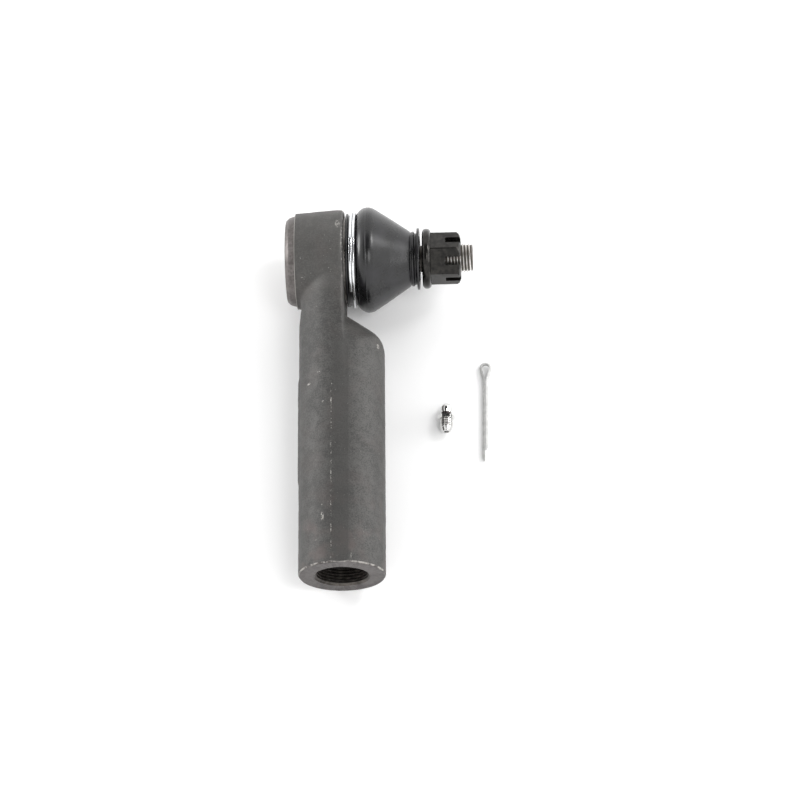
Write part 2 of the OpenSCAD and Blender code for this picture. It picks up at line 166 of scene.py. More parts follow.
# %% Outlines and spinning
def rounded(corners, steps=6):
    """Corners as (along, across) or (along, across, rounding), with each rounding drawn as an arc."""
    outline = []
    for index, corner in enumerate(corners):
        here = Vector(corner[:2])
        if len(corner) == 2:
            outline.append(here)
            continue
        back = (Vector(corners[index - 1][:2]) - here).normalized()
        ahead = (Vector(corners[(index + 1) % len(corners)][:2]) - here).normalized()
        half = back.angle(ahead) / 2
        centre = here + (back + ahead).normalized() * corner[2] / sin(half)
        start = here + back * corner[2] / tan(half) - centre
        end = here + ahead * corner[2] / tan(half) - centre
        turn = atan2(start.x * end.y - start.y * end.x, start.dot(end))
        for step in range(steps + 1):
            outline.append(centre + Matrix.Rotation(turn * step / steps, 2) @ start)
    return outline


def arc(centre, radius, start, end, steps):
    """Points along an arc, with its angles in degrees."""
    angles = [radians(start + (end - start) * step / steps) for step in range(steps + 1)]
    return [(centre[0] + radius * cos(angle), centre[1] + radius * sin(angle)) for angle in angles]


def draw(name, points):
    """A line of vertices through points, left in edit mode with its last vertex selected."""
    bare()
    bpy.ops.mesh.primitive_plane_add(size=MM)
    piece = bpy.context.object
    piece.name = piece.data.name = name
    bpy.ops.object.mode_set(mode="EDIT")
    bpy.ops.mesh.merge(type="CENTER")
    bpy.ops.transform.translate(value=points[0] * MM)
    for before, after in zip(points, points[1:]):
        bpy.ops.mesh.extrude_region_move(TRANSFORM_OT_translate={"value": (after - before) * MM})
    return piece


def close_up():
    """Joins what meets in the mesh being edited, turns its faces outwards and leaves edit mode."""
    bpy.ops.mesh.select_all(action="SELECT")
    bpy.ops.mesh.remove_doubles(threshold=0.002 * MM)
    bpy.ops.mesh.normals_make_consistent(inside=False)
    bpy.ops.object.mode_set(mode="OBJECT")


def lathe(name, outline, steps=128):
    """Spins an outline about the X axis into a closed solid."""
    points = [Vector((corner[0], 0, corner[1])) for corner in outline]
    if points[0].z and points[-1].z:
        points.append(points[0])
    piece = draw(name, points)
    bpy.ops.mesh.select_all(action="SELECT")
    bpy.ops.mesh.spin(steps=steps, angle=tau, center=(0, 0, 0), axis=(1, 0, 0))
    close_up()
    return piece


def slab(name, outline, low, high, layers):
    """A flat outline in X and Y, filled and raised from one height to another in equal layers."""
    piece = draw(name, [Vector((*corner, low)) for corner in outline])
    bpy.ops.mesh.select_all(action="SELECT")
    bpy.ops.mesh.edge_face_add()
    for _ in range(layers):
        bpy.ops.mesh.extrude_region_move(
            TRANSFORM_OT_translate={"value": (0, 0, (high - low) / layers * MM)})
    close_up()
    return piece


def block(name, low, high, rounding=0):
    """A box between two corners, with its edges rounded if asked."""
    bare()
    low, high = Vector(low), Vector(high)
    bpy.ops.mesh.primitive_cube_add(size=1, location=(low + high) / 2 * MM, scale=(high - low) * MM)
    piece = bpy.context.object
    piece.name = piece.data.name = name
    bpy.ops.object.transform_apply()
    if rounding:
        modify(piece, "BEVEL", width=rounding * MM, segments=3)
    return piece


print("tools for turning, drawing and boring are ready")

# %% [markdown]
# ## Threads
#
# A screw thread is a ridge that climbs by one pitch each turn. The Screw modifier does just that to
# a short line: root, flank, crest, flank, root. Neighbouring turns meet and are merged, and each
# ragged end is drawn in to a point on the axis, which leaves a closed rod. The same rod is a stud's
# thread when it is added, and a tapped hole's when it is cut away. A standard ridge is an eighth of
# the pitch wide at its crest and rises by six tenths of the pitch.

# %% The threaded rod
def thread_rod(name, root, crest, pitch, start, end, steps=72):
    """A closed rod along X with a right-hand thread between two radii."""
    crest_width, root_width = pitch / 8, pitch / 4
    flank = (pitch - crest_width - root_width) / 2
    corners = [
        (start, root),
        (start + flank, crest),
        (start + flank + crest_width, crest),
        (start + 2 * flank + crest_width, root),
        (start + pitch, root),
    ]
    piece = draw(name, [Vector((along, 0, radius)) for along, radius in corners])
    turns = int((end - start) / pitch)
    modify(
        piece, "SCREW", axis="X", screw_offset=pitch * MM, angle=tau, iterations=turns,
        steps=steps, render_steps=steps, use_merge_vertices=True, merge_threshold=0.001 * MM,
    )
    middle = (start + end) / 2 * MM
    bpy.ops.object.mode_set(mode="EDIT")
    bpy.ops.mesh.select_all(action="SELECT")
    bpy.ops.mesh.remove_doubles(threshold=0.001 * MM)
    for far in (False, True):
        bpy.ops.mesh.select_mode(type="EDGE")
        bpy.ops.mesh.select_all(action="DESELECT")
        bpy.ops.mesh.select_non_manifold()
        bpy.ops.object.mode_set(mode="OBJECT")
        for edge in piece.data.edges:
            first = piece.data.vertices[edge.vertices[0]]
            edge.select = edge.select and (first.co.x > middle) == far
        bpy.ops.object.mode_set(mode="EDIT")
        bpy.ops.mesh.extrude_region()
        bpy.ops.mesh.merge(type="CENTER")
    bpy.ops.mesh.select_mode(type="VERT")
    close_up()
    return piece


test_rod = thread_rod("test_rod", 6.2, 7.1, 1.5, 0, 15)
print(f"a rod of 10 turns has {len(test_rod.data.polygons)} faces")
bpy.data.objects.remove(test_rod)

# %% [markdown]
# ## Handing a piece over
#
# When its shape is done, a piece is shaded smooth except at real edges, it is tied to the body that
# it moves with, and the CAD node that it stands for is hidden. The hidden node still does the
# colliding in the physics model.

# %% Handing over
finishes = {}


def hand_over(piece, body, slot, *nodes, sharp=32):
    """Smooths a piece, ties it to its body and hides the CAD nodes it replaces; slot is not used."""
    pick(piece)
    bpy.ops.object.shade_smooth_by_angle(angle=radians(sharp))
    if body:
        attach(piece, body)
    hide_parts(*nodes)
    print(f"{piece.name}: {len(piece.data.polygons)} faces")


def coat(piece, finish):
    """Gives a whole piece one finish. Cutting can leave empty slots behind, so they go first."""
    piece.data.materials.clear()
    piece.data.materials.append(finish)


def paint(piece, finish, test):
    """Gives a second finish to the faces whose centre (in millimetres) and normal pass a test."""
    piece.data.materials.append(finish)
    index = len(piece.data.materials) - 1
    count = 0
    for face in piece.data.polygons:
        if test(face.center / MM, face.normal):
            face.material_index = index
            count += 1
    print(f"{finish.name} covers {count} faces of {piece.name}")

# %% [markdown]
# ## The forging, first rough
#
# The housing starts as a red-hot bar that two dies press into shape. Its faces are smooth but never
# crisp: corners are soft, the head flows into the barrel, and the outside is faintly uneven. The
# quick way to such a skin is to let simple solids overlap, melt them into one with a voxel remesh,
# and relax the result. The dies part along a line on top of the barrel and under it. What squeezes
# out there is trimmed off, which leaves a narrow flat band, and that is cut afterwards, so it stays
# sharp. Beside the boot the barrel ends in a slanting shoulder that is as round as the barrel
# itself. It is cut with a slab built up in thin layers, whose slanting side is drawn back at each
# height by as much as a circle of the barrel's radius would be.

# %% Rough head and barrel
head_front = 1.5
draft = 1.4
roll_start = head_back - 4.7
spare = 3
plan_layers = 30
head = lathe("forging", rounded([
    (-roll_start - 2, 0),
    (-roll_start - 2, head_r - draft),
    (-roll_start, head_r - draft),
    (head_front - 2.6, head_r),
    (head_front, head_r, 1.3),
    (head_front, 0),
]), steps=160)
shoulder_top = head_r + 5.6
shoulder_angle = radians(35)
shoulder_r = 15
shoulder_drop = (barrel_r - head_front) * tan(shoulder_angle)
waist = 1.3
barrel = lathe("barrel", [
    (0, 0),
    (0, barrel_r),
    (barrel_reach + spare, barrel_r),
    (barrel_reach + spare, 0),
], steps=160)
place(barrel, turn=(0, 0, -90))
plan = slab("plan", rounded([
    (waist - barrel_r, -head_r / 2),
    (head_front, -head_r / 2),
    (head_front, -shoulder_top),
    (barrel_r + 0.05, -shoulder_top - shoulder_drop, shoulder_r),
    (barrel_r + 0.05, -barrel_reach - 2 * spare),
    (-barrel_r - spare, -barrel_reach - 2 * spare),
    (-barrel_r - spare, -head_r - 14),
    (-barrel_r, -head_r - 11),
    (waist - barrel_r, -head_r - 4),
], steps=12), -barrel_r - 1, barrel_r + 1, plan_layers)
for vertex in plan.data.vertices:
    across, along, height = vertex.co / MM
    if across > head_front - 0.1 and along < -head_r / 2 - 1:
        level = sqrt(barrel_r ** 2 - min(abs(height), barrel_r) ** 2)
        vertex.co.y -= (barrel_r - level) / cos(shoulder_angle) * MM
carve(barrel, plan, how="INTERSECT")
print(f"rough head {len(head.data.polygons)} faces, rough barrel {len(barrel.data.polygons)} faces")

# %% [markdown]
# The lettering that a maker would forge into the barrel's side is replaced by a plain raised pad.
# It is the slice of a slightly fatter cylinder that a block cuts out, so it follows the barrel's
# curve. It joins before the remesh, because it is forged too and has soft edges.

# %% Marking pad
pad_height = 0.45
pad_start, pad_end, pad_half = 64, 116, 4.6
pad = lathe("pad", [
    (pad_start - 2, 0),
    (pad_start - 2, barrel_r + pad_height),
    (pad_end + 2, barrel_r + pad_height),
    (pad_end + 2, 0),
])
place(pad, turn=(0, 0, -90))
pad_plan = block(
    "pad_plan", (-30, -pad_end, -pad_half), (-12, -pad_start, pad_half), rounding=1.5)
carve(pad, pad_plan, how="INTERSECT")
print(f"pad stands {pad_height} mm proud")

# %% Melt into one skin
pick(head, barrel, pad)
bpy.ops.object.join()
forging = head
modify(forging, "REMESH", mode="VOXEL", voxel_size=0.7 * MM)
modify(forging, "SMOOTH", factor=0.6, iterations=12)
print(f"forged skin: {len(forging.data.polygons)} faces")

# %% [markdown]
# A forged face is never quite true. Scale and die wear leave it rolling by a few hundredths of a
# millimetre, which is just enough to break up a reflection. A Displace modifier with a clouds
# texture pushes each point along its normal by that much.

# %% Waviness of the skin
waves = bpy.data.textures.new("die_wear", "CLOUDS")
waves.noise_scale = 7 * MM
waves.noise_depth = 3
modify(forging, "DISPLACE", texture=waves, texture_coords="LOCAL", strength=0.22 * MM, mid_level=0.5)
print("the skin rolls by about a tenth of a millimetre")

# %% [markdown]
# ## The forging, then machined
#
# Now the cutting tools come, each one a turned solid that is subtracted: the face for the rolled
# lip, the bore for the bearings, the trimmed flash, the sawn end, the tapped hole. These edges are
# crisp because nothing is smoothed after them. The lip and the boot's neck are turned solids too,
# and are added. The block that trims the flash has rounded edges, so the band runs out gently
# towards the head.

# %% Lip, neck and bearing bore
roll_r = head_r - draft - 1.1
lip_bore_r = 16.5
neck_r = 20.5
cap_r, cap_back, cap_front = 19.5, head_back - 1.7, head_back - 4.1
socket_r = 18
seat_start, seat_end, seat_r = 2.65, 7.05, 14.65
mouth_r = 13.5
carve(forging, lathe("back_face", [
    (-head_back - 5, 0),
    (-head_back - 5, 2 * head_r),
    (-roll_start, 2 * head_r),
    (-roll_start, 0),
]))
rolled_lip = lathe("rolled_lip", rounded([
    (-head_back, 0),
    (-head_back, roll_r - 2.4, 1.1),
    (-head_back + 1.7, roll_r - 0.9, 1.6),
    (-roll_start + 0.01, roll_r),
    (-roll_start + 2, roll_r),
    (-roll_start + 2, 0),
]), steps=160)
neck = lathe("neck", rounded([
    (-1, 0),
    (-1, neck_r),
    (neck_end, neck_r, 0.4),
    (neck_end, 0),
]), steps=160)
carve(forging, rolled_lip, neck, how="UNION")
carve(forging, lathe("socket", [
    (-head_back - 1, 0),
    (-head_back - 1, lip_bore_r + 0.4),
    (-head_back + 0.4, lip_bore_r),
    (-cap_back, lip_bore_r),
    (-cap_back, cap_r + 0.05),
    (-cap_front, cap_r + 0.05),
    (-cap_front, socket_r),
    (seat_start, socket_r),
    (seat_end, seat_r),
    (seat_end, mouth_r - 0.7),
    (neck_end, mouth_r),
    (neck_end + 1, mouth_r + 1),
    (neck_end + 1, 0),
], steps=160))
print(f"machined head: {len(forging.data.polygons)} faces")

# %% Trimmed flash and sawn end
flash_width, flash_start, flash_run_out = 8, head_r + 14, 3
flat_height = sqrt(barrel_r ** 2 - (flash_width / 2) ** 2)
for side in (1, -1):
    low, high = sorted((side * flat_height, side * 2 * barrel_r))
    carve(forging, block(
        "trimmer", (-15, -2 * barrel_reach, low), (15, -flash_start, high), rounding=flash_run_out))
end_face = lathe("end_face", rounded([
    (barrel_reach - 4, 2 * barrel_r),
    (barrel_reach - 4, barrel_r + 0.4),
    (barrel_reach - 0.9, barrel_r - 0.05),
    (barrel_reach, barrel_r - 0.7),
    (barrel_reach, 0),
    (barrel_reach + 2 * spare, 0),
    (barrel_reach + 2 * spare, 2 * barrel_r),
]), steps=160)
carve(forging, place(end_face, turn=(0, 0, -90)))
print(f"flash trimmed to a flat {flash_width} mm wide on top and below")

# %% [markdown]
# The hole is drilled to the tapping size, with the drill's point at its bottom and a chamfer at its
# mouth, and then tapped. The tap stops short of the bottom, as a real one has to.

# %% Tapped hole
pitch = 1.5
thread_r = tap_r + 0.5413 * pitch
bore_mouth_r = thread_r + 0.3
hole_depth = mounts["barrel_thread"]["dims"]["length_mm"] + bore_mouth_r - tap_r
drill = lathe("drill", [
    (barrel_reach - hole_depth - tap_r * tan(radians(31)), 0),
    (barrel_reach - hole_depth, tap_r),
    (barrel_reach - bore_mouth_r + tap_r, tap_r),
    (barrel_reach, bore_mouth_r),
    (barrel_reach + 1, bore_mouth_r + 1),
    (barrel_reach + 1, 0),
], steps=144)
carve(forging, place(drill, turn=(0, 0, -90)))
tap = thread_rod("tap", tap_r - 0.02, thread_r, pitch, barrel_reach - hole_depth + 7, barrel_reach + 4)
carve(forging, place(tap, turn=(0, 0, -90)))
print(f"tapped M{2 * thread_r:.0f} x {pitch}, {hole_depth:.0f} mm deep")

# %% [markdown]
# ## The cover plate
#
# The back of the head is closed by a pressed steel plate that the rolled lip holds down. Its middle
# is pressed inwards to a boss, and the boss is tapped for the grease fitting. A plate like this is
# all round, so it is one turned section, and then the same thread rod as before cuts the hole.

# %% Cover plate
plate = lathe("cover_plate", rounded([
    (-cap_back + 0.05, grease_tap_r + 0.5),
    (-cap_back + 0.05, 6.5, 0.4),
    (-cap_back + 0.6, 7.4, 0.6),
    (-cap_back + 0.6, 12.4, 0.6),
    (-cap_back + 0.05, 13.3, 0.4),
    (-cap_back + 0.05, cap_r, 0.4),
    (-cap_front - 0.05, cap_r, 0.3),
    (-cap_front - 0.05, grease_tap_r + 2.4, 0.4),
    (-cap_front + 1.9, grease_tap_r + 2, 0.4),
    (-cap_front + 1.9, grease_tap_r),
    (-cap_back + 0.6, grease_tap_r),
]), steps=96)
grease_pitch = 0.907
carve(plate, thread_rod(
    "grease_tap", grease_tap_r - 0.05, grease_tap_r + 0.45, grease_pitch,
    -cap_back - 2, -cap_front + 4, steps=40,
))
hand_over(plate, "housing", "cap_steel", "end_cap")

# %% [markdown]
# ## The ball stud
#
# Ball, waist and taper are ground, so they are one turned section with an arc for the ball. The
# thread is a rod of its own: a turned envelope first gives it a chamfered tip, and then it is added
# to the shank. Cutting the chamfer across the helix gives the thread its natural start, a ridge that
# fades in. The cross hole for the split pin lines up with two of the nut's slots.

# %% Ball stud
ball_r = span("ball_stud", "Y")[1]
ball_flat = -span("ball_stud", "X")[0]
waist_r, taper_r, taper_start, taper_end = 7.6, 8.55, 20, 37
taper_end_r = taper_r - (taper_end - taper_start) / 16
stud_thread_r = 7.14
stud_root_r = stud_thread_r - 0.6134 * pitch
nut_clock = 31
cotter_hole_x = stud_reach - 8
flat_angle = degrees(asin(sqrt(1 - (ball_flat / ball_r) ** 2)))
waist_angle = degrees(asin(waist_r / ball_r))
stud = lathe("threaded_stud", rounded([
    (-ball_flat, 0),
    *arc((0, 0), ball_r, 180 - flat_angle, waist_angle, 28),
    (sqrt(ball_r ** 2 - waist_r ** 2) + 3, waist_r),
    (taper_start, taper_r, 1.5),
    (taper_end, taper_end_r, 0.5),
    (taper_end + 0.7, stud_root_r + 0.1),
    (taper_end + 3, stud_root_r + 0.1),
    (taper_end + 3, 0),
]), steps=96)
stud_thread = thread_rod("stud_thread", stud_root_r, stud_thread_r, pitch, taper_end - 1, stud_reach + 4)
tip = lathe("tip", rounded([
    (taper_end + 1.5, 0),
    (taper_end + 1.5, stud_root_r),
    (taper_end + 3, stud_thread_r + 0.3),
    (stud_reach - 1.3, stud_thread_r + 0.3),
    (stud_reach - 0.9, stud_thread_r - 0.2),
    (stud_reach, stud_thread_r - 1.2, 0.3),
    (stud_reach, 0),
]), steps=96)
carve(stud_thread, tip, how="INTERSECT")
carve(stud, stud_thread, how="UNION")
bare()
bpy.ops.mesh.primitive_cylinder_add(vertices=32, radius=1.6 * MM, depth=30 * MM)
cross_drill = bpy.context.object
place(cross_drill, move=(cotter_hole_x, 0, 0), turn=(nut_clock + 60, 0, 0))
carve(stud, cross_drill)
hand_over(stud, "stud", "stud_steel", "ball_stud")

# %% [markdown]
# ## The castle nut
#
# The nut is a hexagon with a round flange, bored and tapped, with six slots for the split pin. A
# six-sided cylinder gives the hexagon. What makes it look turned is the crown: the corners are cut
# by a chamfer that is round about the axis, so each flat gets a curved edge. That is the shape that
# the hexagon shares with a turned envelope. Each slot cutter runs right through and makes two
# slots, so three of them are enough.

# %% Castle nut
across_flats = 22.2
flange_r = span("slotted_nut", "Z")[1]
flange_t = 4.1
slot_w, slot_depth = 4, 7.4
bare()
bpy.ops.mesh.primitive_cylinder_add(
    vertices=6, radius=across_flats / sqrt(3) * MM, depth=(nut_front - nut_back) * MM)
nut = bpy.context.object
nut.name = nut.data.name = "castle_nut"
place(nut, move=((nut_back + nut_front) / 2, 0, 0), turn=(0, 90, 0))
place(nut, turn=(nut_clock, 0, 0))
modify(nut, "BEVEL", width=0.35 * MM, segments=3, limit_method="ANGLE", angle_limit=radians(50))
crown = lathe("crown", rounded([
    (nut_back - 1, 0),
    (nut_back - 1, across_flats),
    (nut_front - 2.2, across_flats),
    (nut_front - 2.2, across_flats / sqrt(3) + 0.1),
    (nut_front - 0.8, across_flats / sqrt(3) - 0.9, 1),
    (nut_front, across_flats / sqrt(3) - 2.4, 0.3),
    (nut_front, 0),
]), steps=128)
carve(nut, crown, how="INTERSECT")
flange = lathe("flange", rounded([
    (nut_back, 0),
    (nut_back, flange_r, 1.7),
    (nut_back + flange_t, flange_r, 1.9),
    (nut_back + flange_t, 0),
], steps=8), steps=128)
carve(nut, flange, how="UNION")
for turn in (0, 60, 120):
    slot = block(
        "slot", (nut_front - slot_depth, -slot_w / 2, -across_flats),
        (nut_front + 2, slot_w / 2, across_flats), rounding=0.5)
    carve(nut, place(slot, turn=(nut_clock + turn, 0, 0)))
nut_bore_r = stud_thread_r + 0.08
carve(nut, lathe("nut_bore", [
    (nut_back - 1, 0),
    (nut_back - 1, nut_bore_r + 1.7),
    (nut_back + 0.7, nut_bore_r),
    (nut_front - 0.7, nut_bore_r),
    (nut_front + 1, nut_bore_r + 1.7),
    (nut_front + 1, 0),
], steps=96))
carve(nut, thread_rod(
    "nut_tap", nut_bore_r - 0.3, nut_bore_r + 0.5, pitch, nut_back - 3, nut_front + 4, steps=64))
hand_over(nut, "nut", "nut_black_oxide", "slotted_nut")

# %% [markdown]
# ## The flat-wire ring
#
# The boot is held on the neck by a ring of flat spring wire, wound a little over one and a half
# times, like a key ring. The wire's section is drawn once as a closed loop, and the Screw modifier
# winds it. The two open ends are then filled. One free end shows on the side that faces up.

# %% Flat-wire ring
wire_w = 1.3
ring_pitch = 1.45
wire_t = 1.6
ring_inner_r = 21.9
ring_turns = 1.62
free_end = 65
section = rounded([
    (ring_back + 0.02, ring_inner_r, 0.2),
    (ring_back + 0.02, ring_inner_r + wire_t, 0.35),
    (ring_back + 0.02 + wire_w, ring_inner_r + wire_t, 0.35),
    (ring_back + 0.02 + wire_w, ring_inner_r, 0.2),
], steps=4)
points = [Vector((along, 0, radius)) for along, radius in section]
ring = draw("flat_wire_ring", points + points[:1])
bpy.ops.mesh.select_all(action="SELECT")
bpy.ops.mesh.remove_doubles(threshold=0.002 * MM)
modify(
    ring, "SCREW", axis="X", screw_offset=ring_pitch * ring_turns * MM, angle=-tau * ring_turns,
    iterations=1, steps=260, render_steps=260,
)
bpy.ops.object.mode_set(mode="EDIT")
bpy.ops.mesh.select_all(action="SELECT")
bpy.ops.mesh.fill_holes(sides=0)
close_up()
place(ring, turn=(free_end, 0, 0))
hand_over(ring, "housing", "ring_wire", "boot_retaining_ring")

# %% [markdown]
# ## The rubber boot
#
# The boot has to bend when the stud swings, and its big end stays on the head while its lip goes
# with the stud. Two hinges at the ball's centre make up that swing, with a body between them. The
# boot is made in two pieces, a bulge and a cone, that meet in the straight part of its cone. Both
# are closed shells with a real wall.

# %% Boot sections
wall = 2
groove_r = 21.85
bulge_x, bulge_r = 13, 6
cone_start, cone_start_r = 18.6, boot_r - 2.3
cone_end, cone_end_r = boot_reach - 4.9, 13.5
seam_x = 24


def cone_r(along):
    """Radius of the boot's cone at a distance along the stud."""
    share = (along - cone_start) / (cone_end - cone_start)
    return cone_start_r + (cone_end_r - cone_start_r) * share


parting = 95
parting_line = arc((bulge_x, boot_r - bulge_r), bulge_r + 0.1, parting + 1, parting - 1, 2)[1:2]
bulge = lathe("boot_bulge", [
    *rounded([
        (boot_back, neck_r + 0.06, 0.3),
        (boot_back, groove_r + 0.9, 0.45),
        (boot_back + 1, groove_r + 0.9, 0.4),
        (ring_back - 0.35, groove_r, 0.3),
        (ring_front + 0.1, groove_r),
        (ring_front + 0.1, groove_r + 0.5),
    ], steps=4)[:-1],
    *arc((bulge_x, boot_r - bulge_r), bulge_r, 158, parting + 2, 12),
    *parting_line,
    *arc((bulge_x, boot_r - bulge_r), bulge_r, parting - 2, 57, 8),
    (seam_x, cone_r(seam_x)),
    (seam_x, cone_r(seam_x) - wall),
    *arc((bulge_x, boot_r - bulge_r), bulge_r - wall, 57, 120, 8),
    (neck_end + 0.4, groove_r - 0.4),
    (neck_end + 0.4, neck_r + 0.06),
], steps=160)
cone = lathe("boot_cone", [
    (seam_x, cone_r(seam_x)),
    *rounded([
        (seam_x, cone_r(seam_x) - wall),
        (seam_x, cone_r(seam_x)),
        (cone_end, cone_end_r, 3),
        (cone_end + 0.7, 12.75, 0.3),
        (cone_end + 1.1, 13.35, 0.35),
        (cone_end + 1.9, 13.35, 0.35),
        (cone_end + 2.4, 12.5, 0.3),
        (boot_reach - 1.7, 12.4, 0.5),
        (boot_reach - 1.35, 15, 0.3),
        (boot_reach - 0.15, 15, 0.4),
        (boot_reach - 0.5, 11.6, 0.4),
        (boot_reach, 10.6, 0.3),
        (boot_reach, 9.36),
        (cone_end - 1, 9.36),
        (cone_end - 2, 10.4),
    ], steps=5)[2:],
    (seam_x, cone_r(seam_x) - wall),
], steps=160)
print(f"bulge {2 * boot_r:.1f} mm across, seam at {seam_x} mm")

# %% [markdown]
# The part lies on the head and on the end of its barrel. That resting plane would just touch the
# boot's bulge, so the rubber is pressed flat there. The points below the plane are found by their
# place and moved straight up to it.

# %% Flat where the rubber rests
rest_tilt = asin(head_r / hypot(barrel_reach, barrel_r)) - atan2(barrel_r, barrel_reach)


def rest_z(along, lift=0):
    """Height of the resting plane, or of a line above it, at a distance along the barrel."""
    return (lift - head_r) / cos(rest_tilt) + along * tan(rest_tilt)


pressed = 0
for piece in (bulge, cone):
    for vertex in piece.data.vertices:
        floor_z = rest_z(-vertex.co.y / MM) * MM
        if vertex.co.z < floor_z:
            vertex.co.z = floor_z
            pressed += 1
print(f"resting plane tilts by {degrees(rest_tilt):.2f} degrees; {pressed} points pressed flat")
for piece in (bulge, cone):
    hand_over(piece, None, "boot_rubber", "dust_boot", sharp=35)
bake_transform(bulge)
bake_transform(cone)

# %% [markdown]
# ## The split pin
#
# A split pin is one length of half-round wire, folded so that its flat sides meet, with an eye left
# at the fold. It is made here as the wire is bent: the half-round end is drawn once, extruded along
# the long leg, spun a little outwards, extruded, spun round the eye, and so back down the other
# leg. In these operators a spin about Z with a positive angle turns clockwise seen from above.

# %% Split pin
pin_r = 1.32
pin_slit = 0.14
pin_top = -span("cotter_pin", "Y")[1]
pin_length = 51.7
leg_step = 6
pin_turn = 0.9
eye_r = 2.85
eye_wire = 0.95
fork_y, fork_r = -9.8, 3
eye_inner_r = eye_r - eye_wire
between = Vector((fork_r + pin_slit / 2, -eye_r - fork_y))
lean = asin((fork_r + eye_inner_r) / between.length) - atan2(between.x, between.y)
straight = sqrt(between.length ** 2 - (fork_r + eye_inner_r) ** 2)


def run(along, across=0.0):
    """Extrudes the wire's end by this much down the pin's axis and across it."""
    bpy.ops.mesh.extrude_region_move(TRANSFORM_OT_translate={"value": Vector((across, along, 0)) * MM})


def bend(centre, angle, steps):
    """Spins the wire's end about a point, clockwise for a positive angle in degrees."""
    centre = Vector((*centre, 0)) * MM
    bpy.ops.mesh.spin(steps=steps, angle=angle, center=centre, axis=(0, 0, 1))


half_round = arc((0, 0), pin_r, 90, 270, 14)
pin = draw("split_pin", [
    Vector((across - pin_slit / 2, -pin_length, up)) for across, up in half_round
])
bpy.ops.mesh.select_all(action="SELECT")
bpy.ops.mesh.edge_face_add()


def swell(across, up, spot):
    """Scales the wire's end in width and height about a spot on its flat side."""
    bpy.ops.transform.resize(value=(across, across, up), center_override=Vector((*spot, 0)) * MM)


tip_length, tip_width, tip_height = 1.2, 0.5, 0.6
eye_height = 0.85
pin_lift = 1.45
eye_start = Vector((eye_inner_r * cos(lean), eye_inner_r * sin(lean) + eye_r))
swell(tip_width, tip_height, (-pin_slit / 2, -pin_length))
run(tip_length)
swell(1 / tip_width, 1 / tip_height, (-pin_slit / 2, tip_length - pin_length))
run(pin_length + fork_y - tip_length)
bend((-pin_slit / 2 - fork_r, fork_y), -lean, 6)
run(straight * cos(lean), -straight * sin(lean))
swell(eye_wire / pin_r, eye_height, -eye_start)
bend((0, -eye_r), pi + 2 * lean, 40)
swell(pin_r / eye_wire, 1 / eye_height, (eye_start.x, -eye_start.y))
run(-straight * cos(lean), -straight * sin(lean))
bend((pin_slit / 2 + fork_r, fork_y), -lean, 6)
run(leg_step + tip_length - pin_length - fork_y)
run(-tip_length)
swell(tip_width, tip_height, (pin_slit / 2, leg_step - pin_length))
close_up()
place(pin, turn=(0, 0, -pin_turn))
pin_x = span("cotter_pin", "X")[1] - eye_r
place(pin, move=(pin_x, -pin_top, rest_z(pin_top, pin_lift)), turn=(-degrees(rest_tilt), 0, 0))
hand_over(pin, "cotter_pin", "zinc_wire", "cotter_pin", sharp=40)

# %% [markdown]
# ## The grease fitting
#
# The fitting has a ball-shaped head for the grease gun, a waist that the gun's jaws grip, a small
# hexagon and a tapered thread. It is turned along X like everything else, bored for its check ball
# and spring, and only then laid down in its place on the resting plane.

# %% Grease fitting
nipple_length = 14.3
nipple_head_r = 2.85
nipple_thread_r = 3.175
nipple_bore_r, nipple_mouth_r = 1.25, 0.85
hex_start, hex_end = 5.9, 7.8
nipple_flats = 7
nipple = lathe("grease_nipple", rounded([
    (0, 0),
    (0, nipple_mouth_r + 0.55, 0.2),
    (0.65, nipple_head_r - 0.75, 0.6),
    (1.6, nipple_head_r - 0.1, 1),
    (3.1, nipple_head_r - 0.1, 0.8),
    (4.3, nipple_head_r - 0.5, 0.3),
    (hex_start + 0.5, nipple_head_r - 0.5),
    (hex_start + 0.5, 0),
], steps=5), steps=64)
bare()
bpy.ops.mesh.primitive_cylinder_add(
    vertices=6, radius=nipple_flats / sqrt(3) * MM, depth=(hex_end - hex_start) * MM)
nipple_hex = bpy.context.object
place(nipple_hex, move=((hex_start + hex_end) / 2, 0, 0), turn=(0, 90, 0))
modify(nipple_hex, "BEVEL", width=0.12 * MM, segments=2, limit_method="ANGLE", angle_limit=radians(50))
carve(nipple_hex, lathe("hex_crown", rounded([
    (hex_start - 1, 0),
    (hex_start - 1, 1.8),
    (hex_start + 0.8, nipple_flats / sqrt(3) + 0.3),
    (hex_end + 1, nipple_flats / sqrt(3) + 0.3),
    (hex_end + 1, 0),
]), steps=64), how="INTERSECT")
nipple_thread = thread_rod(
    "nipple_thread", nipple_thread_r - 0.55, nipple_thread_r, grease_pitch,
    hex_end - 1.5, nipple_length + 2, steps=48)
carve(nipple_thread, lathe("nipple_tip", [
    (hex_end - 0.3, 0),
    (hex_end - 0.3, nipple_thread_r - 0.6),
    (hex_end + 0.6, nipple_thread_r + 0.2),
    (nipple_length - 2.2, nipple_thread_r - 0.15),
    (nipple_length, nipple_thread_r - 1.2),
    (nipple_length, 0),
], steps=64), how="INTERSECT")
carve(nipple, nipple_hex, nipple_thread, how="UNION")
carve(nipple, lathe("nipple_bore", [
    (-1, 0),
    (-1, nipple_mouth_r),
    (0.7, nipple_mouth_r),
    (1.3, nipple_bore_r),
    (nipple_length - 1.8, nipple_bore_r),
    (nipple_length - 1.8, nipple_mouth_r),
    (nipple_length - 1.3, nipple_mouth_r),
    (nipple_length - 1.3, nipple_bore_r),
    (nipple_length + 1, nipple_bore_r),
    (nipple_length + 1, 0),
], steps=48))
place(nipple, turn=(0, 0, -90))
nipple_x = sum(span("grease_fitting", "X")) / 2
nipple_y = -span("grease_fitting", "Y")[1]
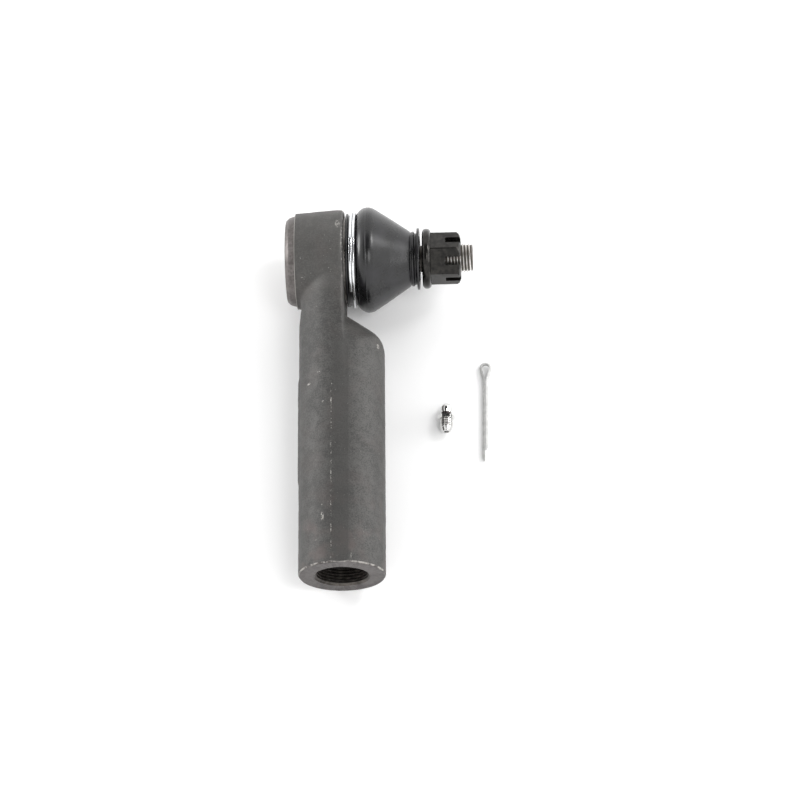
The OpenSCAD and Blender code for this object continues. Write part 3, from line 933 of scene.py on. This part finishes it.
nipple_z = rest_z(nipple_y, nipple_flats / 2 + 0.1)
place(nipple, move=(nipple_x, -nipple_y, nipple_z), turn=(-degrees(rest_tilt), 0, 0))
hand_over(nipple, "grease_fitting", "fitting_plate", "grease_fitting")

# %% [markdown]
# The coil spring behind the check ball is a fine wire in the CAD model already, so its mesh is copied
# and its doubled points are merged. It has to give way by as much as the ball travels when the ball
# is pressed in, but here it keeps its full length.

# %% Check spring
check_spring = bpy.data.objects.new("check_spring", frame["nodes"]["fitting_spring"].data.copy())
bpy.context.collection.objects.link(check_spring)
pick(check_spring)
bpy.ops.object.mode_set(mode="EDIT")
bpy.ops.mesh.select_all(action="SELECT")
bpy.ops.mesh.remove_doubles(threshold=0.001 * MM)
bpy.ops.object.mode_set(mode="OBJECT")
hand_over(check_spring, "grease_fitting", "spring_steel", "fitting_spring", sharp=60)
spring_low, spring_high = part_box("fitting_spring")
press = next(joint for joint in frame["joints"] if joint["name"] == "check_ball_press")
ball_travel = press["range_m"][1]
spring_length = spring_high[1] - spring_low[1]
1 - ball_travel / spring_length
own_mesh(check_spring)
print(f"spring {spring_length / MM:.1f} mm long gives way by {ball_travel / MM:.1f} mm")

# %% [markdown]
# ## The forging joins the rest
#
# The housing was left in hand until now, because some of its faces get another finish.

# %% Hand over the forging
hand_over(forging, "housing", "forged_steel", "housing", sharp=35)

# %% [markdown]
# ## A small language for finishes
#
# A finish is a network of shader nodes. Written node by node it is long and hard to read, so a
# small class wraps each output socket. Adding or multiplying two of them adds the Math node for it,
# and a finish then reads like a formula. Colours go through Mix nodes, since a Math node would turn
# them grey. Every pattern is placed by Object coordinates, so it stays on the metal from any side.

# %% Sockets as values
class Wire:
    """A number, colour or vector that flows between shader nodes."""

    def __init__(self, finish, socket):
        self.finish, self.socket = finish, socket

    def math(self, operation, *others):
        """A Math node with this value first."""
        return self.finish.node("Math", {"operation": operation}, self, *others)

    def __add__(self, other):
        return self.math("ADD", other)

    def __sub__(self, other):
        return self.math("SUBTRACT", other)

    def __rsub__(self, other):
        return self.finish.node("Math", {"operation": "SUBTRACT"}, other, self)

    def __mul__(self, other):
        return self.math("MULTIPLY", other)

    def __truediv__(self, other):
        return self.math("DIVIDE", other)

    def __abs__(self):
        return self.math("ABSOLUTE")

    def __pow__(self, other):
        return self.math("POWER", other)

    __radd__, __rmul__ = __add__, __mul__


class Finish:
    """A material that is being put together."""

    def __init__(self, name):
        self.material = bpy.data.materials.new(name)
        self.material.use_nodes = True
        self.tree = self.material.node_tree
        self.tree.nodes.clear()
        self.place = self.node("TexCoord", output="Object")
        across = self.node("SeparateXYZ", {}, self.place)
        self.x, self.y, self.z = (
            Wire(self, across.socket.node.outputs[axis]) * (1 / MM) for axis in "XYZ")
        finishes[name] = self.material

    def node(self, kind, settings=None, *values, output="", **sockets):
        """Adds a node: its settings first, then its sockets in order or by name."""
        made = self.tree.nodes.new("ShaderNode" + kind)
        for setting, value in (settings or {}).items():
            setattr(made, setting, value)
        ready = [socket for socket in made.inputs if socket.enabled]
        named = {socket.name.replace(" ", "_"): socket for socket in ready}
        wanted = list(zip(ready, values)) + [(named[name], value) for name, value in sockets.items()]
        for socket, value in wanted:
            if isinstance(value, Wire):
                self.tree.links.new(value.socket, socket)
            else:
                socket.default_value = value
        outputs = [socket for socket in made.outputs if socket.enabled]
        chosen = [socket for socket in outputs if socket.name == output] or outputs or [None]
        return Wire(self, chosen[0])

    def noise(self, size, detail=3, roughness=0.55, stretch=(1, 1, 1)):
        """Smooth noise, from 0 to 1, whose lumps are about this many millimetres across."""
        spot = self.node("Mapping", {}, self.place, Scale=[1 / factor for factor in stretch])
        return self.node(
            "TexNoise", {}, Vector=spot, Scale=1 / (size * MM), Detail=detail, Roughness=roughness)

    def step(self, value, low, high):
        """0 below low, 1 above high and a smooth rise between them."""
        return self.node(
            "MapRange", {"interpolation_type": "SMOOTHSTEP"}, value, From_Min=low, From_Max=high)

    def mix(self, factor, first, second):
        """The first colour where the factor is 0 and the second where it is 1."""
        colours = [value if isinstance(value, Wire) else (*value, 1) for value in (first, second)]
        return self.node("Mix", {"data_type": "RGBA"}, factor, *colours)

    def bump(self, height, depth):
        """A normal from a height between 0 and 1, where 1 stands this many millimetres high."""
        return self.node("Bump", {}, Height=height, Distance=depth * MM)

    def shader(self, **sockets):
        """The shader itself and the output."""
        shader = self.node("BsdfPrincipled", {}, **sockets)
        self.node("OutputMaterial", {}, shader)
        return self.material


print("finishes can be written as formulas")

# %% [markdown]
# ## Dark forged steel
#
# The forging comes out of a phosphate bath, so it is dark grey-brown and matt, never painted even.
# Three sizes of noise do most of the work: broad clouds, patches of a few millimetres, and a grain
# that is felt more than seen. On top lie the marks of its making and handling: a worn line along
# one edge of the flat band where the flash was trimmed, a browner tint towards the sawn end, worn
# corners on the head, and small bare knocks. The flat band is also painted darker, as painted shade
# for the dark reflection that it catches, and the head is painted lighter, as painted light. Each
# knock is an ellipse seen from above, broken up by noise, and its line in the list gives its middle
# in X and Y and its half width in X and Y. The grain also feeds the bump, which is what makes the
# steel look blasted.

# %% Forged steel
knocks = [
    (-0.9, 9.4, 1.5, 2.9),
    (0.6, 0.5, 0.16, 6.5),
    (-15, -70.7, 1.1, 0.7),
    (-10.2, -66, 0.9, 0.25),
    (17.8, -50.4, 0.7, 1.5),
    (5.3, -159.2, 0.22, 2.2),
    (-8.2, -139.6, 0.9, 2.6),
    (-8.4, -133.8, 0.35, 0.5),
    (-11.2, -150.6, 0.6, 0.4),
    (-8, -81.6, 0.7, 0.6),
    (-4.2, -81.8, 0.4, 0.8),
    (-3.9, -73.2, 0.4, 0.5),
]
bare_steel = (0.40, 0.385, 0.36)


def forged_steel():
    """The phosphated skin of the forging."""
    finish = Finish("forged_steel")
    x, y, z = finish.x, finish.y, finish.z
    clouds, patches = finish.noise(24, 2), finish.noise(4.5, 4)
    grain, pits = finish.noise(0.7, 3, 0.7), finish.noise(1.6, 3)
    tone = finish.step(clouds * 0.2 + patches * 0.2 + grain * 0.6, 0.41, 0.59)
    colour = finish.mix(tone, (0.034, 0.0332, 0.0316), (0.066, 0.0643, 0.061))
    on_head = finish.step(y, -head_r - 4, 6 - head_r)
    # Painted light: the head's colour is lifted towards a lighter grey.
    colour = finish.mix(on_head * 0.35, colour, (0.105, 0.102, 0.097))
    to_end = finish.step(y * -1, 118, 150) * 0.4 + 0.15
    brown = finish.step(finish.noise(13, 3), 0.47, 0.66) * to_end
    colour = finish.mix(brown, colour, (0.084, 0.066, 0.062))
    on_barrel = finish.step(y * -1, head_r + 16, head_r + 30)
    upper = finish.step(z, 1, 4)
    # Painted shade: the flat band on top and below is darkened, standing in for the dark reflection that it
    # catches.
    painted_band_shade = finish.step(x + pits - 0.5, -3.2, -2.2) * (1 - finish.step(x + patches * 2 - 1, 3.6, 5.6))
    painted_band_shade = painted_band_shade * on_barrel * finish.step(abs(z), flat_height - 1.6, flat_height - 0.6)
    colour = finish.mix(painted_band_shade * 0.5, colour, (0.048, 0.047, 0.045))
    line = 1 - finish.step(abs(x + pits * 0.5 + 3.85), 0.12, 0.38)
    line = line * finish.step(y * -1, 68, 78) * upper * finish.step(finish.noise(4, 3), 0.47, 0.58)
    breakup = finish.step(finish.noise(0.75, 2, 0.7), 0.44, 0.56)
    struck = 0
    for knock_x, knock_y, half_x, half_y in knocks:
        reach = ((x - knock_x) / half_x) ** 2 + ((y - knock_y) / half_y) ** 2
        struck = 1 - finish.step(reach, 0.4, 1.1) + struck
    radius = (y ** 2 + z ** 2) ** 0.5
    front = 1 - finish.step(abs(x - head_front + 0.35), 0.2, 0.6)
    front = front * finish.step(y, 4 - head_r, 10 - head_r) * finish.step(pits, 0.52, 0.64) * 0.6
    back = finish.step(x * -1, roll_start - 0.4, roll_start - 0.1)
    back = back * finish.step(radius, head_r - draft - 0.4, head_r - draft - 0.15)
    specks = finish.step(finish.noise(0.8, 2, stretch=(0.7, 1.3, 1)), 0.68, 0.75)
    specks = specks * finish.step(finish.noise(11, 2), 0.45, 0.58)
    bare_metal = struck * breakup * upper * 0.55 + line * breakup * 0.85 + front + back * 0.7
    bare_metal = bare_metal + specks * (on_head * 0.3 + 0.4)
    bare_metal = finish.step(bare_metal, 0, 1)
    return finish.shader(
        Base_Color=finish.mix(bare_metal, colour, bare_steel),
        Metallic=bare_metal * 0.4 + 0.3,
        Roughness=0.62 - patches * 0.16 + grain * 0.1 - bare_metal * 0.2,
        Normal=finish.bump(grain * 0.6 + pits * 0.4, 0.1),
    )


coat(forging, forged_steel())


# %% [markdown]
# ## Machined steel on the forging
#
# The rolled lip was squeezed over by a tool, so it is smoother than the forging, browner, and marked
# by fine rings about the stud's axis. The sawn end of the barrel has the same kind of rings about
# its own axis. Rings are a wave of the distance from the axis, or of the place along it, with a
# little noise so that no two are alike.

# %% Turned surfaces
def turned_steel(
        name, dark, light, along_barrel=False, rim=1000, roughness=0.4, metallic=0.75, depth=0.02):
    """Steel with tool marks in rings about the stud's axis or the barrel's, worn outside a radius on its upper
    side, where the bright wear is also a painted highlight.
    """
    finish = Finish(name)
    x, y, z = finish.x, finish.y, finish.z
    radius = ((x ** 2 if along_barrel else y ** 2) + z ** 2) ** 0.5
    along = y if along_barrel else x
    stains, mottle = finish.noise(6, 4), finish.noise(1.5, 3)
    rings = finish.node("TexNoise", {"noise_dimensions": "1D"}, W=(radius + along) * 4, Detail=3)
    colour = finish.mix(finish.step(stains * 0.6 + mottle * 0.4, 0.36, 0.64), dark, light)
    # Bright bare steel outside the rim radius, on the upper side only: partly real wear, partly a painted
    # highlight on the chamfer.
    worn = finish.step(radius + mottle * 0.5, rim - 0.1, rim + 0.2)
    worn = worn * finish.step(finish.noise(3.5, 4), 0.42, 0.56) * finish.step(z, 0, 6)
    return finish.shader(
        Base_Color=finish.mix(worn * 0.75, colour, bare_steel),
        Metallic=metallic,
        Roughness=mottle * 0.12 + rings * 0.14 + (roughness - 0.13),
        Normal=finish.bump(rings, depth),
    )


def in_bore(centre, normal):
    """Whether a face lies inside the head or on the neck that the boot covers."""
    radius = hypot(centre.y, centre.z)
    on_neck = head_front < centre.x < neck_end + 0.1 and radius < neck_r + 0.05
    return on_neck or (centre.x > 0.1 - head_back and radius < cap_r + 0.2)


paint(
    forging, turned_steel("rolled_steel", (0.088, 0.079, 0.076), (0.150, 0.138, 0.133), roughness=0.42),
    lambda centre, normal: centre.x < -roll_start + 0.05 and normal.x < 0.999,
)
paint(forging, turned_steel("bored_steel", (0.20, 0.19, 0.18), (0.34, 0.32, 0.30)), in_bore)
paint(
    forging, turned_steel(
        "sawn_steel", (0.068, 0.062, 0.060), (0.124, 0.114, 0.111), along_barrel=True,
        rim=barrel_r - 0.35, roughness=0.5),
    lambda centre, normal: centre.y < -barrel_reach + 1 and normal.y < -0.35,
)
paint(
    forging, turned_steel(
        "tapped_steel", (0.035, 0.031, 0.028), (0.10, 0.09, 0.08), along_barrel=True, roughness=0.38),
    lambda centre, normal: hypot(centre.x, centre.z) < bore_mouth_r + 0.02
    and centre.y < -barrel_reach + hole_depth + 10,
)


# %% [markdown]
# ## The other finishes
#
# Rubber is dark, satin and slightly uneven: a bluish bloom lies on it in patches, and dust clings to
# it as faint specks. The nut is black from a hot oxide bath, worn a little at random. The stud's
# thread is bright on its crests and brown in its roots, so its colour follows the distance from the
# axis. The ring is bright drawn wire, the pin is dull zinc, and the fitting is bright nickel plate
# whose waist and thread roots are painted near black, a painted dark reflection.

# %% Rubber
def boot_rubber():
    """Satin black moulded rubber."""
    finish = Finish("boot_rubber")
    bloom, smudge, skin = finish.noise(9, 4), finish.noise(4, 5, 0.7), finish.noise(0.35, 3, 0.6)
    dust = finish.step(finish.noise(0.5, 1), 0.74, 0.8) * finish.step(finish.noise(8, 2), 0.5, 0.65)
    colour = finish.mix(finish.step(bloom, 0.4, 0.7), (0.003, 0.003, 0.0034), (0.010, 0.0096, 0.0118))
    colour = finish.mix(finish.step(smudge, 0.56, 0.68) * 0.8, colour, (0.003, 0.003, 0.003))
    colour = finish.mix(dust * 0.35, colour, (0.14, 0.14, 0.14))
    return finish.shader(
        Base_Color=colour,
        Roughness=0.2 + bloom * 0.16 + dust * 0.2,
        Normal=finish.bump(skin, 0.012),
    )


rubber = boot_rubber()
for piece in (bulge, cone):
    coat(piece, rubber)


# %% Black oxide, bright thread, wire and plate
def coated_metal(
        name, dark, light, worn, wear=0.72, metallic=0.8, roughness=0.4, depth=0.015, grain=0.5):
    """Metal under a thin coat: mottled, a little rough, and worn through in small spots."""
    finish = Finish(name)
    mottle, fine = finish.noise(2.5, 4), finish.noise(grain, 3, 0.65)
    spots = finish.step(finish.noise(0.9, 3), wear, wear + 0.08)
    colour = finish.mix(finish.step(mottle * 0.6 + fine * 0.4, 0.36, 0.64), dark, light)
    return finish.shader(
        Base_Color=finish.mix(spots, colour, worn),
        Metallic=metallic,
        Roughness=mottle * 0.14 + fine * 0.1 + (roughness - 0.12),
        Normal=finish.bump(fine, depth),
    )


def threaded_steel():
    """Ground steel whose thread is bright on the crests and brown in the roots."""
    finish = Finish("threaded_steel")
    radius = (finish.y ** 2 + finish.z ** 2) ** 0.5
    threaded = finish.step(finish.x, taper_end + 0.5, taper_end + 1.2)
    root = threaded * (1 - finish.step(radius, stud_root_r + 0.05, stud_thread_r - 0.3))
    mottle, fine = finish.noise(1.8, 4), finish.noise(0.4, 3, 0.65)
    colour = finish.mix(finish.step(mottle, 0.38, 0.62), (0.78, 0.76, 0.73), (0.94, 0.92, 0.89))
    colour = finish.mix(root * 0.95, colour, (0.045, 0.035, 0.028))
    return finish.shader(
        Base_Color=colour,
        Metallic=1 - root * 0.3,
        Roughness=mottle * 0.14 + fine * 0.08 + root * 0.15 + 0.2,
        Normal=finish.bump(fine, 0.008),
    )


coat(nut, coated_metal(
    "nut_black_oxide", (0.012, 0.0115, 0.011), (0.036, 0.034, 0.031), (0.16, 0.15, 0.14), roughness=0.2))
coat(stud, threaded_steel())
coat(ring, coated_metal(
    "bright_wire", (0.62, 0.63, 0.65), (0.80, 0.81, 0.82), (0.40, 0.39, 0.38), wear=0.9, metallic=1,
    roughness=0.2, depth=0.001))
coat(pin, coated_metal(
    "zinc_wire", (0.42, 0.42, 0.415), (0.56, 0.56, 0.55), (0.26, 0.25, 0.24), metallic=0.15,
    roughness=0.62))
nickel = coated_metal(
    "nickel_plate", (0.66, 0.65, 0.64), (0.84, 0.84, 0.83), (0.55, 0.52, 0.48), wear=0.78, metallic=1,
    roughness=0.14, depth=0.003)
coat(nipple, nickel)
# Painted dark reflection: the fitting's waist is painted near black.
waist_start, waist_end = 4.6, hex_start + 0.1
paint(
    nipple, coated_metal("waist_oxide", (0.012, 0.010, 0.010), (0.05, 0.04, 0.04), (0.2, 0.2, 0.2)),
    lambda centre, normal: waist_start < -centre.y - nipple_y < waist_end and abs(normal.y) < 0.7,
)
# Painted dark reflection: the roots of the fitting's thread are painted near black too.
root_radius = nipple_thread_r - 0.3
paint(
    nipple, finishes["waist_oxide"],
    lambda centre, normal: hex_end < -centre.y - nipple_y < nipple_length - 2.6
    and hypot(centre.x - nipple_x, centre.z - nipple_z) < root_radius,
)
coat(plate, turned_steel("pressed_plate", (0.13, 0.12, 0.11), (0.24, 0.22, 0.20)))

# %% [markdown]
# ## The nodes that stay
#
# The bearings, the spring washer, the sleeve in the boot's neck and the fitting's ball are right as
# the CAD model has them, so their own meshes stay and only get a finish. The fitting's spring is a
# copy of its node, and takes the same finish as the spring washer.

# %% Finishes for the CAD nodes
kept = {
    "upper_bearing": turned_steel("bearing_metal", (0.30, 0.25, 0.17), (0.46, 0.39, 0.27)),
    "lower_bearing": finishes["bearing_metal"],
    "preload_spring": coated_metal(
        "blued_steel", (0.10, 0.11, 0.15), (0.20, 0.22, 0.28), (0.3, 0.3, 0.3), roughness=0.34),
    "boot_neck_ring": turned_steel("sleeve_steel", (0.12, 0.12, 0.125), (0.24, 0.24, 0.245)),
    "fitting_check_ball": nickel,
}
for node, finish in kept.items():
    coat(frame["nodes"][node], finish)
coat(check_spring, finishes["blued_steel"])
print("finishes:", ", ".join(sorted(finishes)))

# %% [markdown]
# ## Floor, light and camera
#
# The part lies on a pale floor in a bright, soft studio. The floor is the resting plane itself, so
# it tilts by the same small angle. A soft light hangs to the right and throws the pale shadow to the
# left. Two low strips, one at each side, and a small light behind the nut draw the highlights on the
# rubber and the bright metal, and a white sky fills the rest. The floor is bright enough to wash out
# to white outside the shadows.

# %% Floor
bare()
bpy.ops.mesh.primitive_plane_add(size=6)
studio_floor = bpy.context.object
studio_floor.name = "studio_floor"
place(studio_floor, move=(0, 0, rest_z(0) - 0.05), turn=(-degrees(rest_tilt), 0, 0))
pale = Finish("pale_floor")
coat(studio_floor, pale.shader(
    Base_Color=pale.mix(pale.noise(400, 2), (0.95, 0.95, 0.95), (0.97, 0.97, 0.97)),
    Roughness=0.9,
))

# %% Lights
part_middle = Vector((0.02, -0.07, 0))


def softbox(name, spot, width, height, watts):
    """An area light at a spot in metres, which faces the part."""
    bare()
    bpy.ops.object.light_add(type="AREA", location=spot)
    light = bpy.context.object
    light.name = name
    light.data.shape = "RECTANGLE"
    light.data.size, light.data.size_y = width, height
    light.data.energy = watts
    light.rotation_euler = (part_middle - light.location).to_track_quat("-Z", "Y").to_euler()


softbox("key_light", (0.55, -0.4, 1.4), 0.5, 0.5, 4.5)
softbox("right_strip", (1.1, 0.12, 0.2), 0.7, 0.2, 4.5)
softbox("left_strip", (-1.1, 0.35, 0.32), 0.5, 0.22, 7)
softbox("boot_light", (0.9, 0.48, 0.8), 0.3, 0.28, 4)
studio = bpy.data.worlds.new("studio")
studio.use_nodes = True
studio.node_tree.nodes["Background"].inputs["Color"].default_value = (1, 1, 1, 1)
studio.node_tree.nodes["Background"].inputs["Strength"].default_value = 1.45
bpy.context.scene.world = studio
bpy.context.scene.view_settings.view_transform = "Standard"

# %% [markdown]
# ## Camera
#
# The part is seen from almost straight above, from a fair distance with a long lens, which is how a
# catalogue shows such a piece without distortion. The camera is put on a line from a point beside
# the barrel, and rolled a few degrees so that the barrel stands upright in the frame. A black card
# hangs above it, as is usual for small bright things: in an all-white room plated metal would
# vanish into the background, and black rubber would look grey.

# %% Camera
azimuth, elevation, roll = radians(5.445), radians(67.433), radians(-6.274)
distance = 1708.9
aim = Vector((27.74, -74.01, 0))
back = Vector((sin(azimuth) * cos(elevation), -cos(azimuth) * cos(elevation), sin(elevation)))
bpy.ops.object.camera_add()
camera = bpy.context.object
camera.data.lens = 160.75
camera.data.sensor_width = 36
camera.data.clip_start, camera.data.clip_end = 0.1, 20
level = (-back).to_track_quat("-Z", "Y").to_matrix()
camera.matrix_world = Matrix.Translation((aim + back * distance) * MM) @ (
    level @ Matrix.Rotation(roll, 3, "Z")).to_4x4()
bpy.context.scene.camera = camera
bpy.ops.mesh.primitive_plane_add(size=2.3, location=(0, 0.1, 1.9))
card = bpy.context.object
card.name = "black_card"
bpy.ops.object.transform_apply()
felt = Finish("black_felt")
coat(card, felt.shader(
    Base_Color=felt.mix(felt.noise(3, 4), (0.010, 0.010, 0.010), (0.016, 0.016, 0.016)),
    Roughness=0.95,
))
print(f"camera {distance / 1000:.2f} m away, {degrees(elevation):.0f} degrees up")
